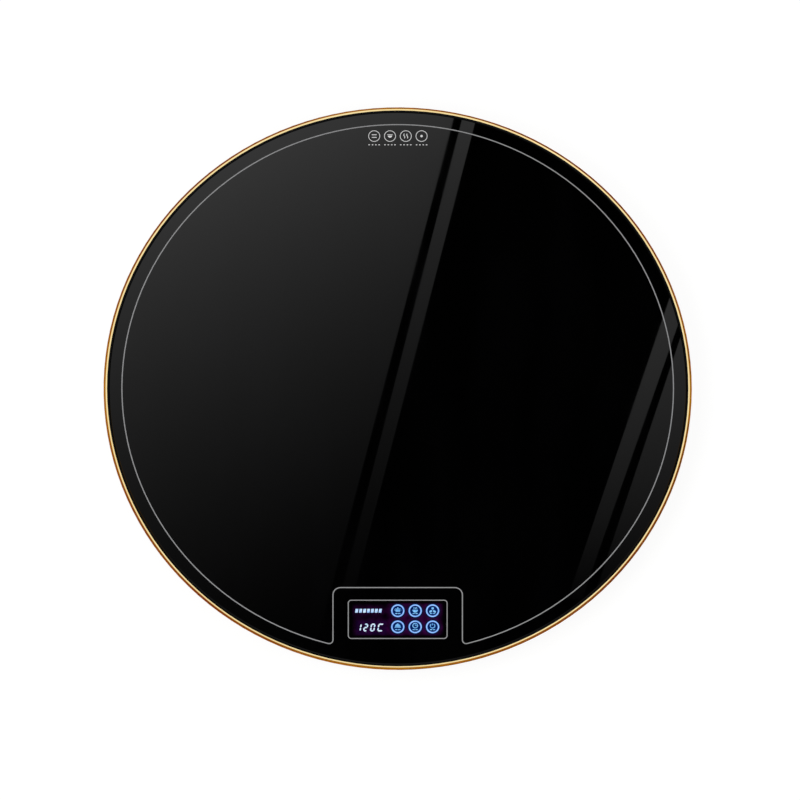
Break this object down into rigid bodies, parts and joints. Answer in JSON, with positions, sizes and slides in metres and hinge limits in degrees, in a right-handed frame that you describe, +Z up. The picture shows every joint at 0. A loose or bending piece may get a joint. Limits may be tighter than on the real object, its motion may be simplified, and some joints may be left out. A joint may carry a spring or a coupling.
{
  "type": "food warming tray",
  "caption": "Round flat electric food warming tray: black glass plate in a gold metal rim, touch controls at the front, mains inlet at the rear.",
  "frame": {"origin": "on the surface that the tray stands on, under the middle of the glass", "axes": "+Z up, -Y towards the control window at the front, +Y towards the mains inlet at the rear, +X to the right of a person at the controls"},
  "size_m": [0.5999, 0.6, 0.0403],
  "materials": {
    "black_glass": "polished, opaque black",
    "gold_rim": "bright cut inner band, satin bronze shoulder",
    "black_silicone": "matte",
    "cover_plastic": "fine moulded grain",
    "foot_rubber": "matte",
    "grey_enamel": "fired print",
    "key_glow": "lit from below",
    "heater_film": "amber film",
    "copper": "bare copper",
    "carbon_track": "printed carbon",
    "fibre": "pressed fibre",
    "plain_aluminium": "mill finish",
    "screw_steel": "zinc plated",
    "silicone_white": "matte",
    "bakelite": "moulded",
    "inlet_plastic": "moulded",
    "plated_brass": "nickel plated",
    "circuit_board": "solder mask",
    "black_component": "moulded",
    "blue_component": "lacquered",
    "yellow_component": "taped",
    "white_plastic": "moulded",
    "fuse_glass": "clear tube",
    "mask_film": "black printed film",
    "display_face": "dark face",
    "brown_wire": "silicone insulation",
    "blue_wire": "silicone insulation",
    "earth_wire": "silicone insulation",
    "grey_cable": "flat cable"
  },
  "bodies": {
    "root": {"board_sockets": "white_plastic", "bottom_cover": "cover_plastic", "busbar_terminals": "plated_brass", "busbars": "copper", "buzzer": "black_component", "cable_clips": "white_plastic", "control_board": "circuit_board", "control_chip": "black_component", "cover_screws": "screw_steel", "cutout_rivets": "plain_aluminium", "display_module": "display_face", "earth_screw": "screw_steel", "earth_terminal": "plated_brass", "filter_capacitor": "yellow_component", "flat_cable": "grey_cable", "foot_1": "foot_rubber", "foot_2": "foot_rubber", "foot_3": "foot_rubber", "foot_4": "foot_rubber", "foot_5": "foot_rubber", "foot_6": "foot_rubber", "foot_screws": "screw_steel", "fuse": "fuse_glass", "fuse_clips": "plated_brass", "glass_seal": "black_silicone", "glass_top": "black_glass", "heater_film": "heater_film", "heater_lead_live": "brown_wire", "heater_lead_neutral": "blue_wire", "heater_lead_supply": "brown_wire", "heater_tracks": "carbon_track", "icon_mask": "mask_film", "inlet_blades": "plated_brass", "inlet_body": "inlet_plastic", "inlet_nuts": "screw_steel", "inlet_screws": "screw_steel", "insulation_blanket": "fibre", "key_leds": "white_plastic", "key_print": "key_glow", "lead_earth": "earth_wire", "lead_live": "brown_wire", "lead_neutral": "blue_wire", "level_light": "display_face", "light_frame": "white_plastic", "post_screws": "screw_steel", "power_board": "circuit_board", "reflector_plate": "plain_aluminium", "relay": "blue_component", "rim_ring": "gold_rim", "sensor_lead": "grey_cable", "sensor_plug": "silicone_white", "smoothing_capacitor": "black_component", "temperature_sensor": "plated_brass", "terminal_block": "black_component", "thermal_cutout": "bakelite", "touch_springs": "plated_brass", "transformer": "yellow_component", "varistor": "blue_component", "window_print": "grey_enamel", "zone_print": "grey_enamel"}
  },
  "joints": []
}
